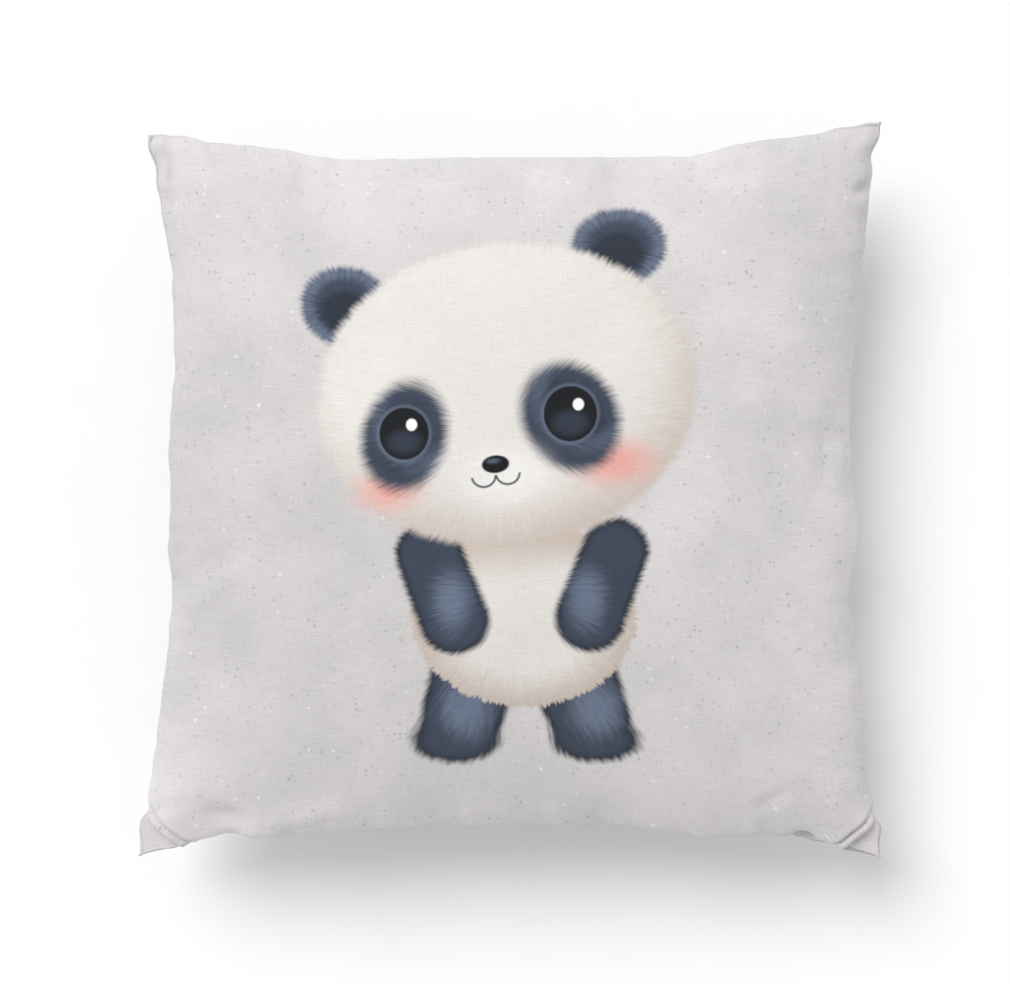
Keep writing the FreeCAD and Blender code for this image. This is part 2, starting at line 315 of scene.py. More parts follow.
def draw_seams(points, a, b):
    """Moves the seams, the same way on both panels: corner drift, slack and small scallops."""
    for side_x, side_y, in_x, in_y in CORNER_DRIFT:
        weight = ((1 + side_x * a) / 2) ** 5 * ((1 + side_y * b) / 2) ** 5
        points[..., 0] -= weight * side_x * in_x * MM
        points[..., 1] -= weight * side_y * in_y * MM
    for seed, (side, (away, along, inward)) in enumerate(side_distances(a, b).items()):
        to_tip = HALF_CLOTH - np.abs(along)
        depth = sum(d * hump(along, place, width) for place, d, width in SLACK[side])
        depth = depth * np.exp(-away / 0.060)
        scallop = (0.5 if side == "top" else 0.8) * ripple(along, (0.021, 0.034, 0.055), seed)
        scallop *= np.exp(-away / 0.012)
        if side == "bottom":
            scallop *= 1 - zip_share(along)
        move = (depth + scallop * smoothstep(0, 0.03, to_tip) + draw_tip(side, away, along)) * MM
        points += move[..., None] * inward


def gather(points, a, b, side):
    """Small gathers that run in from the seams, and the broad lumps of the filling."""
    rng = np.random.default_rng(5 + side)
    lumps = soft_noise((61, 61), 12, rng)[..., None] * np.ones(3)
    amount = 2.2 * resample(lumps, a, b)[..., 0] * crown(a) * crown(b)
    for seed, (away, along, _) in enumerate(side_distances(a, b).values()):
        hold = smoothstep(0, 0.007, away) * np.exp(-away / 0.020)
        amount += 1.1 * ripple(along, (0.017, 0.027, 0.045), seed + 10 * (side + 2)) * hold
        hold = smoothstep(0, 0.02, away) * np.exp(-away / 0.050)
        amount += 1.6 * ripple(along, (0.060, 0.110), seed + 20 * (side + 2)) * hold
    points += normals(points) * (amount * MM)[..., None]


# Dents in the printed panel: (x, y, half length, half width, turn in degrees, depth), in mm of cloth
DENTS = [
    (-214, 196, 22, 4, 82, 2.2),
    (-196, 206, 16, 5, 12, 1.0),
    (220, 185, 5, 4, 0, 3.2),
    (221, 177, 5, 3, 0, -1.2),
    (178, -221, 6, 4, 4, 7.0),
    (160, -196, 14, 4, 35, 1.6),
    (-172, -206, 14, 6, -20, 2.6),
    (-171, -221, 7, 4, -8, 3.2),
    (-205, -50, 26, 7, 20, 2.0),
    (-190, -62, 20, 6, 35, -1.2),
    (205, 20, 30, 8, 80, 1.6),
    (-60, 208, 30, 7, 5, 1.5),
    (120, 206, 24, 7, -12, 1.6),
    (-125, -208, 26, 7, 8, -2.0),
]


def dent(points, a, b):
    """Presses the dents into a panel along its normals."""
    depth = np.zeros_like(a)
    for x, y, half_long, half_wide, turn, deep in DENTS:
        cos, sin = math.cos(math.radians(turn)), math.sin(math.radians(turn))
        east, north = a * HALF_CLOTH / MM - x, b * HALF_CLOTH / MM - y
        long = (east * cos + north * sin) / half_long
        wide = (north * cos - east * sin) / half_wide
        depth += deep * np.exp(-long ** 2 - wide ** 2)
    hold = np.minimum(1, 4 * (1 - np.maximum(np.abs(a), np.abs(b))) * HALF_CLOTH / (6 * MM))
    points -= normals(points) * (depth * hold * MM)[..., None]


def roll_over_zip(points, a, b, side):
    """Parts the panel at its hem, and lets the filling push the wall out beside the zip."""
    away, along, _ = side_distances(a, b)["bottom"]
    hem = (HEM_Z - SEAM_GAP) * zip_share(points[..., 0]) * np.exp(-(away / 0.016) ** 2)
    points[..., 2] += side * hem
    push = 4.0 + 5.0 * hump(along, 0.128, 0.034) + 4.5 * hump(along, -0.145, 0.045)
    bulge = smoothstep(0.0005, 0.0055, away) * np.exp(-np.maximum(0, away - 0.0055) / 0.032)
    points[..., 1] -= push * bulge * MM * (1.0 if side > 0 else 0.6)


# Tucks at the lower corners: (side of x, reach along the zip side, reach up the other side, overhang)
TUCKS = [(-1, 33 * MM, 30 * MM, 4.6 * MM), (1, 29 * MM, 29 * MM, 4.6 * MM)]


def tuck_corners(points, a, b, side):
    """Folds each lower corner: a flat tab at the tip, with the filled panel rolled over it."""
    for side_x, reach_x, reach_y, overhang in TUCKS:
        p, q = (1 - side_x * a) * HALF_CLOTH, (1 + b) * HALF_CLOTH
        past = (p / reach_x + q / reach_y - 1) / math.hypot(1 / reach_x, 1 / reach_y)
        hold = (1 - np.exp(-p / 0.0035)) * (1 - np.exp(-q / 0.0035))
        roll = np.maximum(0, past) / 0.0015
        out = overhang * roll * np.exp(1 - roll) + 1.6 * MM * hump(past, 0.0054, 0.0011)
        out *= hold * (1.0 if side > 0 else 0.5)
        points[..., 0] += side_x * out * 0.72
        points[..., 1] -= out * 0.68
        flat = 0.14 + 0.86 * smoothstep(-0.0002, 0.0026, past)
        groove = 2.8 * MM * hump(past, 0.0038, 0.0008) * hold
        sharp = (1 - np.exp(-p / 0.0008)) * (1 - np.exp(-q / 0.0008))
        plump = 0.7 * MM * smoothstep(0.004, 0.0, past) * sharp
        points[..., 2] = points[..., 2] * flat + side * (plump - groove)
        notch = 2.6 * MM * (hump(p, reach_x, 0.004) * np.exp(-q / 0.006))
        points[..., 1] += notch
        notch = 2.6 * MM * (hump(q, reach_y, 0.004) * np.exp(-p / 0.006))
        points[..., 0] -= side_x * notch


def rest_on_floor(z, low):
    """Lays heights below a level on that level, with a soft bend at its edge."""
    bend = 1.5 * MM
    return low + bend * np.logaddexp(0, (z - low) / bend)


# ---------------------------------------------------------------- cover

def panel_steps():
    """Cloth coordinates of a panel's rows: wide in its middle, close at the tucks and the seams."""
    fine = np.linspace(-1, 1, 4001)
    density = 0.27 + 0.75 * smoothstep(0.78, 0.88, np.abs(fine))
    density += 6 * np.exp((np.abs(fine) - 1) / 0.004)
    count = np.concatenate([[0], np.cumsum((density[1:] + density[:-1]) / 2)])
    return np.interp(np.linspace(0, count[-1], PANEL_CELLS + 1), count, fine)


def shape_panel(grid, a, b, side):
    """Finished points of one cover panel in the row's frame."""
    grid = grid * (1, 1, (RISE if side > 0 else DROP) / np.abs(grid[..., 2]).max())
    points = resample(grid, a, b)
    points[..., 2] += side * SEAM_GAP
    draw_seams(points, a, b)
    gather(points, a, b, side)
    if side > 0:
        dent(points, a, b)
    roll_over_zip(points, a, b, side)
    tuck_corners(points, a, b, side)
    row = hump(np.abs(points[..., 2]), STITCH_Z, 1.1 * MM) * zip_share(points[..., 0]) * (b < -0.9)
    points[..., 1] += 0.5 * MM * row
    if side > 0:
        points[..., 2] *= (RISE / points[..., 2].max())
        points[..., 2] += SEAM_Z
    else:
        points[..., 2] = rest_on_floor(SEAM_Z + points[..., 2], 0.1 * MM)
    return points


def turned_in(edge, a, b, side):
    """Three rows of seam allowance behind a panel's edge.

    The allowance is clipped at the corners, and folded back behind the hem at the zip.
    """
    inward = np.stack([-np.sign(a) * np.abs(a) ** 14, -np.sign(b) * np.abs(b) ** 14, 0 * a], -1)
    behind = np.stack([0 * a, 0 * a + 0.35, 0 * a + 0.8 * side], -1)
    share = (zip_share(edge[:, 0]) * (b == -1))[:, None]
    clipped = smoothstep(1.0, 0.78, np.minimum(np.abs(a), np.abs(b)))[:, None] * 0.8 + 0.2
    rows = []
    for step in (0.12, 0.5, 1.0):
        fold = behind * ALLOWANCE * step + (0, 0.9 * MM, 0)
        rows.append(edge + (1 - share) * inward * clipped * ALLOWANCE * step + share * fold)
    return rows


def build_panel(name, points, a, b, side):
    """One printed or plain panel with its seam allowance, as a single piece of cloth."""
    index = np.arange(a.size).reshape(a.shape)
    faces = grid_faces(index)
    loop = rim(index)
    flat = np.stack([a, b, 0 * a], -1).reshape(-1, 3) * HALF_CLOTH
    edge, edge_a, edge_b = points.reshape(-1, 3)[loop], a.ravel()[loop], b.ravel()[loop]
    rows, cloth = [points.reshape(-1, 3)], [flat]
    last = loop
    for step, row in enumerate(turned_in(edge, edge_a, edge_b, side)):
        new = a.size + step * len(loop) + np.arange(len(loop))
        quads = np.stack([np.roll(last, -1), last, new, np.roll(new, -1)], -1)
        faces = np.vstack([faces, quads])
        rows.append(row)
        cloth.append(flat[loop] * (1 + 0.015 * (step + 1)))
        last = new
    panel = object_from(name, np.vstack(rows), faces if side > 0 else faces[:, ::-1])
    layout = panel.data.attributes.new("cloth", "FLOAT_VECTOR", "POINT")
    layout.data.foreach_set("vector", (np.vstack(cloth) / MM).ravel())
    thick = panel.modifiers.new("thickness", "SOLIDIFY")
    thick.thickness = CLOTH_THICK
    thick.offset = -1
    return panel


def wall_line(points, height, x):
    """Points on a panel's zip-side wall at a height from the seam plane, at the given x."""
    found = []
    for column in points[12:-12]:
        rise = np.abs(column[:40, 2] - SEAM_Z)
        k = int(np.argmax(rise >= height))
        share = (height - rise[k - 1]) / (rise[k] - rise[k - 1])
        found.append(column[k - 1] + share * (column[k] - column[k - 1]))
    found = np.array(found)
    order = np.argsort(found[:, 0])
    return np.stack([np.interp(x, found[order, 0], found[order, k]) for k in range(3)], -1)


def topstitch(name, points):
    """Row of topstitches through a hem, each one sunk into the cloth at both ends."""
    centres = (np.arange(TOPSTITCHES) - TOPSTITCHES // 2) * TOPSTITCH_PITCH
    proud = np.array([-0.35, 0.05, 0.2, 0.2, 0.05, -0.35]) * MM
    x = (centres[:, None] + np.linspace(-0.5, 0.5, len(proud)) * TOPSTITCH_LENGTH).ravel()
    paths = wall_line(points, STITCH_Z, x)
    rise = wall_line(points, STITCH_Z + 0.5 * MM, x) - paths
    outward = np.stack([0 * x, -np.abs(rise[:, 2]), rise[:, 1] * np.sign(rise[:, 2])], -1)
    outward /= np.linalg.norm(outward, axis=1, keepdims=True)
    shape = (TOPSTITCHES, len(proud), 3)
    paths = paths.reshape(shape) + outward.reshape(shape) * proud[:, None]
    return tubes(name, paths, 0.26 * MM)


def seam_stitches(name, loop, pitch, gap, keep):
    """Lockstitches lying in a seam, along a closed loop of points."""
    closed = np.vstack([loop, loop[:1]])
    run = np.concatenate([[0], np.cumsum(np.linalg.norm(np.diff(closed, axis=0), axis=1))])
    starts = np.arange(int(run[-1] / pitch)) * pitch
    where = starts[:, None] + np.linspace(0, pitch - gap, 5)
    paths = np.stack([np.interp(where, run, closed[:, k]) for k in range(3)], -1)
    return tubes(name, paths[keep(paths[:, 2])], 0.27 * MM)


# ---------------------------------------------------------------- pad

def pad_layer(cover, side, less):
    """Points of one layer of the pad: the cover's own form, drawn in and thinned by `less`."""
    points = cover[::2, ::2] * (0.934, 0.933, 1)
    height = (points[..., 2] - SEAM_Z) * (1 - (2.4 * MM + less) / RISE)
    if side > 0:
        points[..., 2] = SEAM_Z + 0.2 * MM + height
    else:
        points[..., 2] = rest_on_floor(SEAM_Z - 0.2 * MM + height, 1.3 * MM + less)
    return points


def build_lining(name, points, side):
    """One non-woven layer of the pad's lining."""
    faces = grid_faces(np.arange(points[..., 0].size).reshape(points.shape[:2]))
    lining = object_from(name, points.reshape(-1, 3), faces if side > 0 else faces[:, ::-1])
    thick = lining.modifiers.new("thickness", "SOLIDIFY")
    thick.thickness = LINING_THICK
    thick.offset = -1
    return lining


def build_filling(front, back):
    """The pad's fibre filling, closed round its edge."""
    index = np.arange(front[..., 0].size).reshape(front.shape[:2])
    under = index + index.size
    top, low = rim(index), rim(under)
    side = np.stack([np.roll(top, -1), top, low, np.roll(low, -1)], -1)
    faces = np.vstack([grid_faces(index), grid_faces(under)[:, ::-1], side])
    return object_from("filling", np.vstack([front.reshape(-1, 3), back.reshape(-1, 3)]), faces)


# ---------------------------------------------------------------- zip

def build_tape(name, side):
    """One woven tape, flat behind its coil and leaning inwards behind the hem."""
    y = COIL_HIGH.y + 0.3 * MM
    across = [(y, 0.5), (y, 2.8), (y, 4.6), (y + 0.6 * MM, 5.8), (y + 2.2 * MM, 8.8), (y + 4 * MM, 12)]
    x = np.linspace(-TAPE_HALF - PULL_ROOM, TAPE_HALF, 125)
    points = np.zeros((len(x), len(across), 3))
    points[..., 0] = x[:, None]
    points[..., 1] = [place[0] for place in across]
    points[..., 2] = SEAM_Z + side * np.array([place[1] for place in across]) * MM
    faces = grid_faces(np.arange(len(x) * len(across)).reshape(len(x), -1))
    tape = object_from(name, points.reshape(-1, 3), faces if side > 0 else faces[:, ::-1])
    thick = tape.modifiers.new("thickness", "SOLIDIFY")
    thick.thickness = TAPE_THICK
    thick.offset = 0
    return tape


def build_coil(name, side):
    """One row of the nylon coil: a wound filament along the tape's edge."""
    turns = int(2 * CHAIN_HALF / COIL_PITCH)
    angle = np.linspace(0, 2 * math.pi * turns, turns * 12 + 1) + (0 if side > 0 else math.pi)
    x = np.linspace(-CHAIN_HALF + 0.4 * MM, CHAIN_HALF - 0.4 * MM, len(angle))
    y = CHAIN_Y + 0.6 * MM * np.sin(angle)
    z = SEAM_Z + side * (1.3 + 0.7 * np.cos(angle)) * MM
    return tubes(name, [np.stack([x, y, z], -1)], 0.29 * MM, 6)


# ---------------------------------------------------------------- shader arithmetic

class Field:
    """A number that varies over a surface, made by shader nodes, with arithmetic."""

    def __init__(self, tree, socket):
        self.tree = tree
        self.socket = socket

    def math(self, operation, *values):
        node = self.tree.nodes.new("ShaderNodeMath")
        node.operation = operation
        for place, value in zip(node.inputs, values):
            if isinstance(value, Field):
                self.tree.links.new(value.socket, place)
            else:
                place.default_value = value
        return Field(self.tree, node.outputs[0])

    def __add__(self, other):
        return self.math("ADD", self, other)

    def __sub__(self, other):
        return self.math("SUBTRACT", self, other)

    def __mul__(self, other):
        return self.math("MULTIPLY", self, other)

    def __truediv__(self, other):
        return self.math("DIVIDE", self, other)

    __radd__ = __add__
    __rmul__ = __mul__

    def least(self, other):
        return self.math("MINIMUM", self, other)

    def most(self, other):
        return self.math("MAXIMUM", self, other)

    def size(self):
        return self.math("ABSOLUTE", self)

    def wave(self):
        return self.math("SINE", self)

    def step(self, low, high):
        """0 at low, 1 at high, smooth between; low may be above high."""
        node = self.tree.nodes.new("ShaderNodeMapRange")
        node.interpolation_type = "SMOOTHSTEP"
        flip = low > high
        node.inputs["From Min"].default_value = min(low, high)
        node.inputs["From Max"].default_value = max(low, high)
        node.inputs["To Min"].default_value = 1.0 if flip else 0.0
        node.inputs["To Max"].default_value = 0.0 if flip else 1.0
        self.tree.links.new(self.socket, node.inputs["Value"])
        return Field(self.tree, node.outputs["Result"])


def vector(x, y, z=0.0):
    """Vector from three fields or numbers, the first a field."""
    node = x.tree.nodes.new("ShaderNodeCombineXYZ")
    for place, value in zip(node.inputs, (x, y, z)):
        if isinstance(value, Field):
            x.tree.links.new(value.socket, place)
        else:
            place.default_value = value
    return Field(x.tree, node.outputs[0])


def noise(place, scale, detail=2.0, rough=0.5):
    """Smooth random field, mostly from 0.2 to 0.8."""
    node = place.tree.nodes.new("ShaderNodeTexNoise")
    node.inputs["Scale"].default_value = scale
    node.inputs["Detail"].default_value = detail
    node.inputs["Roughness"].default_value = rough
    place.tree.links.new(place.socket, node.inputs["Vector"])
    return Field(place.tree, node.outputs["Fac"])


def specks(place, spacing, radius, keep):
    """1 inside small round specks, one in some of the cells of a random net, else 0."""
    node = place.tree.nodes.new("ShaderNodeTexVoronoi")
    node.inputs["Scale"].default_value = 1 / spacing
    place.tree.links.new(place.socket, node.inputs["Vector"])
    parts = place.tree.nodes.new("ShaderNodeSeparateColor")
    place.tree.links.new(node.outputs["Color"], parts.inputs[0])
    chance, grow = Field(place.tree, parts.outputs[0]), Field(place.tree, parts.outputs[1])
    reach = Field(place.tree, node.outputs["Distance"]) * spacing - grow * radius
    return reach.step(0.35 * radius, -0.2 * radius) * chance.step(1 - keep, 1.02 - keep)


def shade(code):
    """Linear colour of a hex sRGB code."""
    parts = [int(code[i:i + 2], 16) / 255 for i in (0, 2, 4)]
    return [*(c / 12.92 if c <= 0.04045 else ((c + 0.055) / 1.055) ** 2.4 for c in parts), 1.0]


def paint(share, under, over):
    """Colour that goes from under to over with a share. Each is a colour or a painted field."""
    node = share.tree.nodes.new("ShaderNodeMix")
    node.data_type = "RGBA"
    share.tree.links.new(share.socket, node.inputs["Factor"])
    for place, value in zip((node.inputs[6], node.inputs[7]), (under, over)):
        if isinstance(value, Field):
            share.tree.links.new(value.socket, place)
        else:
            place.default_value = value
    return Field(share.tree, node.outputs[2])


def tint(colour, factor):
    """Colour made lighter or darker by a factor that varies."""
    node = factor.tree.nodes.new("ShaderNodeVectorMath")
    node.operation = "SCALE"
    factor.tree.links.new(colour.socket, node.inputs[0])
    factor.tree.links.new(factor.socket, node.inputs["Scale"])
    return Field(factor.tree, node.outputs[0])


def new_material(name):
    """Material with a Principled shader, its node tree, and its object coordinates in mm."""
    material = bpy.data.materials.new(name)
    material.use_nodes = True
    tree = material.node_tree
    place = tree.nodes.new("ShaderNodeTexCoord")
    parts = tree.nodes.new("ShaderNodeSeparateXYZ")
    tree.links.new(place.outputs["Object"], parts.inputs[0])
    x, y, z = (Field(tree, socket) * 1000.0 for socket in parts.outputs)
    return material, tree, (x, y, z)


def finish_material(tree, colour, rough, height, bump, **numbers):
    """Joins colour, roughness and bump height (in mm) to the shader and sets its plain numbers."""
    shader = tree.nodes["Principled BSDF"]
    tree.links.new(colour.socket, shader.inputs["Base Color"])
    tree.links.new(rough.socket, shader.inputs["Roughness"])
    node = tree.nodes.new("ShaderNodeBump")
    node.inputs["Strength"].default_value = bump
    node.inputs["Distance"].default_value = MM
    tree.links.new(height.socket, node.inputs["Height"])
    tree.links.new(node.outputs[0], shader.inputs["Normal"])
    for name, value in numbers.items():
        shader.inputs[name.replace("_", " ")].default_value = value


# ---------------------------------------------------------------- printed motif

CREAM, CREAM_SHADE = shade("DEDAD5"), shade("C4B7AD")
SLATE, SLATE_LIGHT, SLATE_DARK = shade("3B4454"), shade("6C778D"), shade("262C37")
BLUSH, BLACK, WHITE = shade("E79F95"), shade("15171B"), shade("F6F5F3")
TILT = math.radians(7)
FACE = (-2, 62)


def on_face(x, y):
    """Panel position, in mm, of a point given from the middle of the tilted head."""
    cos, sin = math.cos(TILT), math.sin(TILT)
    return (FACE[0] + x * cos - y * sin, FACE[1] + x * sin + y * cos)


def turned(x, y, centre, turn):
    """Coordinates measured from a centre and along turned axes."""
    cos, sin = math.cos(turn), math.sin(turn)
    east, north = x - centre[0], y - centre[1]
    return east * cos + north * sin, north * cos - east * sin


def oval(x, y, centre, radii, turn=0.0):
    """Distance in mm outside an oval's edge, negative inside."""
    u, v = turned(x, y, centre, turn)
    u, v = u / radii[0], v / radii[1]
    return (x.math("SQRT", u * u + v * v) - 1) * min(radii)


def limb(x, y, start, start_radius, end, end_radius):
    """Distance in mm outside a tapered round-ended limb, negative inside."""
    long_x, long_y = end[0] - start[0], end[1] - start[1]
    east, north = x - start[0], y - start[1]
    along = (east * long_x + north * long_y) / (long_x ** 2 + long_y ** 2)
    along = along.most(0.0).least(1.0)
    east, north = east - along * long_x, north - along * long_y
    reach = x.math("SQRT", east * east + north * north)
    return reach - (along * (end_radius - start_radius) + start_radius)


def strands(x, y, centre, radius, width, length):
    """Hair-like noise that runs outwards from a centre, from about -0.5 to 0.5."""
    tree = x.tree
    spot = vector(x - centre[0], y - centre[1])
    unit = tree.nodes.new("ShaderNodeVectorMath")
    unit.operation = "NORMALIZE"
    tree.links.new(spot.socket, unit.inputs[0])
    reach = tree.nodes.new("ShaderNodeVectorMath")
    reach.operation = "LENGTH"
    tree.links.new(spot.socket, reach.inputs[0])
    parts = tree.nodes.new("ShaderNodeSeparateXYZ")
    tree.links.new(unit.outputs[0], parts.inputs[0])
    east, north = Field(tree, parts.outputs[0]), Field(tree, parts.outputs[1])
    far = Field(tree, reach.outputs["Value"]) / length
    return noise(vector(east * (radius / width), north * (radius / width), far), 1.0, 2.0) - 0.5


def furry(distance, hair, fringe, colour, edge_colour, edge_depth, under):
    """Paints a furry shape over a colour: hairy soft edge, shaded rim and streaks inside."""
    rough_edge = distance + hair * fringe
    inner = paint((distance + hair * 14.0).step(-edge_depth, 2.0), colour, edge_colour)
    return paint(rough_edge.step(1.3, -1.3), under, inner)


def dark_fur(distance, hair, glow, under):
    """Slate fur with a lighter brushed patch where `glow` is 1."""
    mixed = (glow + hair * 0.8).step(0.1, 1.2)
    coat = paint(mixed, paint(distance.step(-7.0, 0.0), SLATE, SLATE_DARK), SLATE_LIGHT)
    return paint((distance + hair * 5.0).step(2.8, -2.8), under, coat)


def paint_ears(x, y, under):
    """Two round ears behind the head, darker inside."""
    for centre, radius in ((on_face(-94, 68), 28), (on_face(80, 86), 29)):
        distance = oval(x, y, centre, (radius, radius * 0.93), TILT)
        hair = strands(x, y, centre, radius, 1.6, 9)
        coat = dark_fur(distance, hair, distance.step(-14.0, -3.0) * 0.8, under)
        inner = oval(x, y, (centre[0], centre[1] - 4), (radius * 0.55, radius * 0.5))
        under = paint((inner + hair * 8.0).step(3.0, -3.0) * 0.85, coat, SLATE_DARK)
    return under


def paint_body(x, y, head, under):
    """Cream belly with slate legs below and arms that meet on it."""
    hair = strands(x, y, (8, -60), 80, 1.8, 12)
    legs = [((-22, -118), 27, (-30, -148), 25), ((40, -118), 27, (50, -148), 25)]
    for start, start_radius, end, end_radius in legs:
        distance = limb(x, y, start, start_radius, end, end_radius)
        foot = oval(x, y, (end[0] - 3 if end[0] < 0 else end[0] + 3, end[1] - 12), (27, 15))
        distance = distance.math("SMOOTH_MIN", distance, foot, 6.0)
        glow = oval(x, y, (end[0] + 3, end[1] + 8), (20, 24)).step(8.0, -16.0)
        under = dark_fur(distance, hair, glow, under)
    belly = oval(x, y, (9, -78), (70, 60))
    under = furry(belly, hair, 9.0, CREAM, CREAM_SHADE, 26.0, under)
    under = paint(head.step(26.0, -2.0) * belly.step(2.0, -6.0) * 0.75, under, CREAM_SHADE)
    arms = [((-50, -40), 21, (-34, -82), 22), ((66, -38), 21, (50, -80), 22)]
    for start, start_radius, end, end_radius in arms:
        distance = limb(x, y, start, start_radius, end, end_radius)
        glow = oval(x, y, (end[0] - 2, end[1] + 12), (15, 24)).step(8.0, -14.0)
        under = dark_fur(distance, hair, glow, under)
    return under


def paint_eye(x, y, centre, radius, patch_radii, turn, hair, under):
    """Slate eye patch with a plain round dark eye and one small highlight."""
    patch = oval(x, y, (centre[0], centre[1] - 2), patch_radii, turn)
    ring = paint((patch + hair * 12.0).step(-16.0, -5.0), SLATE_DARK, SLATE)
    brushed = oval(x, y, (centre[0] + 9, centre[1] + 12), (patch_radii[0], patch_radii[1] * 0.9))
    ring = paint(brushed.size().step(9.0, 0.0) * (hair + 0.5) * 0.7, ring, SLATE_LIGHT)
    under = paint((patch + hair * 6.0).step(5.5, -4.5), under, ring)
    eye = oval(x, y, centre, (radius, radius * 1.06))
    under = paint(eye.step(3.2, 0.4) * 0.55, under, SLATE_LIGHT)
    iris = oval(x, y, (centre[0], centre[1] - 0.35 * radius), (radius * 0.7, radius * 0.5))
    under = paint(eye.step(0.6, -0.6), under, paint(iris.step(3.0, -4.0) * 0.6, BLACK, SLATE))
    gleam = oval(x, y, (centre[0] + 0.30 * radius, centre[1] + 0.36 * radius), (3.4, 3.8))
    return paint(gleam.step(0.7, -0.7), under, WHITE)


def paint_muzzle(x, y, under):
    """Small nose and an even, rounded mouth."""
    nose = on_face(-12, -44)
    snout = oval(x, y, (nose[0], nose[1] - 6), (34, 22), TILT)
    under = paint(snout.step(8.0, -16.0) * 0.5, under, WHITE)
    u, v = turned(x, y, (nose[0], nose[1] - 6), TILT)
    for side in (-1, 1):
        across = u - side * 7.5
        ring = (x.math("SQRT", across * across + v * v) - 7.5).size() - 0.75
        line = ring.most(v + 1.0)
        under = paint(line.step(0.5, -0.5) * 0.85, under, SLATE_DARK)
    tip = oval(x, y, nose, (8.6, 5.6), TILT)
    under = paint(tip.step(0.6, -0.6), under, BLACK)
    shine = oval(x, y, (nose[0] - 1.5, nose[1] + 2.0), (3.4, 1.4), TILT)
    return paint(shine.step(1.2, -1.0) * 0.55, under, SLATE_LIGHT)


def paint_head(x, y, head, under):
    """Big cream head with eye patches, blush, nose and mouth."""
    hair = strands(x, y, (FACE[0], FACE[1] - 20), 100, 1.9, 14)
    lit = oval(x, y, on_face(-8, 16), (104, 82), TILT)
    coat = paint((lit + hair * 22.0).step(-10.0, 40.0), CREAM, CREAM_SHADE)
    wisp = noise(vector(x, y), 0.05, 2.0) * 13.0
    under = paint((head + hair * wisp).step(3.4, -3.4), under, coat)
    for centre, radii in ((on_face(-80, -52), (23, 14)), (on_face(62, -52), (27, 16))):
        glow = oval(x, y, centre, radii, TILT)
        under = paint((glow + hair * 9.0).step(6.0, -14.0) * 0.85, under, BLUSH)
    under = paint_eye(x, y, on_face(-66, -18), 15.5, (26, 34), TILT - 0.35, hair, under)
    under = paint_eye(x, y, on_face(38, -18), 16.5, (29, 35), TILT + 0.35, hair, under)
    return paint_muzzle(x, y, under)


# ---------------------------------------------------------------- materials

def weave(x, y):
    """Linen-look weave: slub threads both ways as a tone, and thread relief as a height."""
    across = noise(vector(x * 0.07, y * 1.8, 3.0), 1.0, 3.0, 0.6) * 1.25
    along = noise(vector(x * 1.8, y * 0.07, 9.0), 1.0, 3.0, 0.6) * 0.75
    sway = noise(vector(x, y), 0.09, 2.0) * 14.0
    threads = (x * 7.4 + sway).wave() * (y * 7.4 + sway).wave()
    return across + along - 1.0, across * 0.30 + along * 0.30 + threads * 0.04


def cloth_material(name, printed):
    """Linen-look polyester with soft clouds and painted light and shade across it; the printed one
    adds flecks and the motif.
    """
    material, tree, _ = new_material(name)
    layout = tree.nodes.new("ShaderNodeAttribute")
    layout.attribute_name = "cloth"
    parts = tree.nodes.new("ShaderNodeSeparateXYZ")
    tree.links.new(layout.outputs["Vector"], parts.inputs[0])
    x, y = (Field(tree, socket) for socket in parts.outputs[:2])
    slub, relief = weave(x, y)
    flat = vector(x, y)
    cloud = noise(flat, 0.014, 4.0, 0.55)
    colour = paint(cloud.step(0.30, 0.70), shade("C9C6C6"), shade("D5D1D1"))
    # Painted shade and light: the colour is made darker towards the left side and lighter towards the
    # right, strongest across the middle rows.
    colour = tint(colour, x * (y * y * -0.000028 + 1.0) * 0.0005 + 1.0)
    if printed:
        drift = noise(flat, 0.55, 2.0) * 3.4
        torn = vector(x + drift, y - drift * 0.7)
        grit = specks(torn, 3.4, 1.0, 0.55) * noise(flat, 0.05, 2.0).step(0.30, 0.60)
        colour = paint(grit * 0.42, colour, shade("8F9196"))
        colour = paint(specks(torn, 2.3, 0.6, 0.5) * 0.22, colour, shade("8F9196"))
        colour = paint(specks(torn, 7.5, 1.15, 0.4) * 0.46, colour, WHITE)
        head = oval(x, y, FACE, (119, 97), TILT)
        colour = paint_ears(x, y, colour)
        colour = paint_body(x, y, head, colour)
        colour = paint_head(x, y, head, colour)
    colour = tint(colour, slub * 0.30 + 1.0)
    rough = 0.86 + slub * 0.12
    finish_material(tree, colour, rough, relief, 0.45, Sheen_Weight=0.12, Specular_IOR_Level=0.25)
    return material


def thread_material():
    """Twisted spun thread, with painted shade in the grooves of its twist."""
    material, tree, (x, y, z) = new_material("thread")
    twist = ((x + y) * 9.0 + z * 14.0).wave()
    tone = noise(vector(x, y, z), 0.35, 2.0)
    # Painted shade and light: the colour is a little darker in the grooves of the twist and lighter on
    # its ridges.
    colour = paint((tone + twist * 0.12).step(0.2, 0.8), shade("BDBAB6"), shade("EAE8E5"))
    finish_material(tree, colour, 0.62 + tone * 0.2, twist * 0.10, 0.8, Sheen_Weight=0.2)
    return material


def tape_material():
    """Woven zip tape with ribs along it, and painted shade between the ribs."""
    material, tree, (x, y, z) = new_material("zip_tape")
    ribs = (z * 9.0).wave() * (x * 8.0 + z * 8.0).wave()
    tone = noise(vector(x * 0.4, y, z * 2.0), 1.0, 3.0)
    # Painted shade and light: the colour is a little darker between the ribs and lighter on them.
    colour = paint((tone + ribs * 0.12).step(0.2, 0.8), shade("BEBBB8"), shade("E3E1DE"))
    finish_material(tree, colour, 0.78 + tone * 0.12, ribs * 0.12 + tone * 0.1, 0.7)
    return material


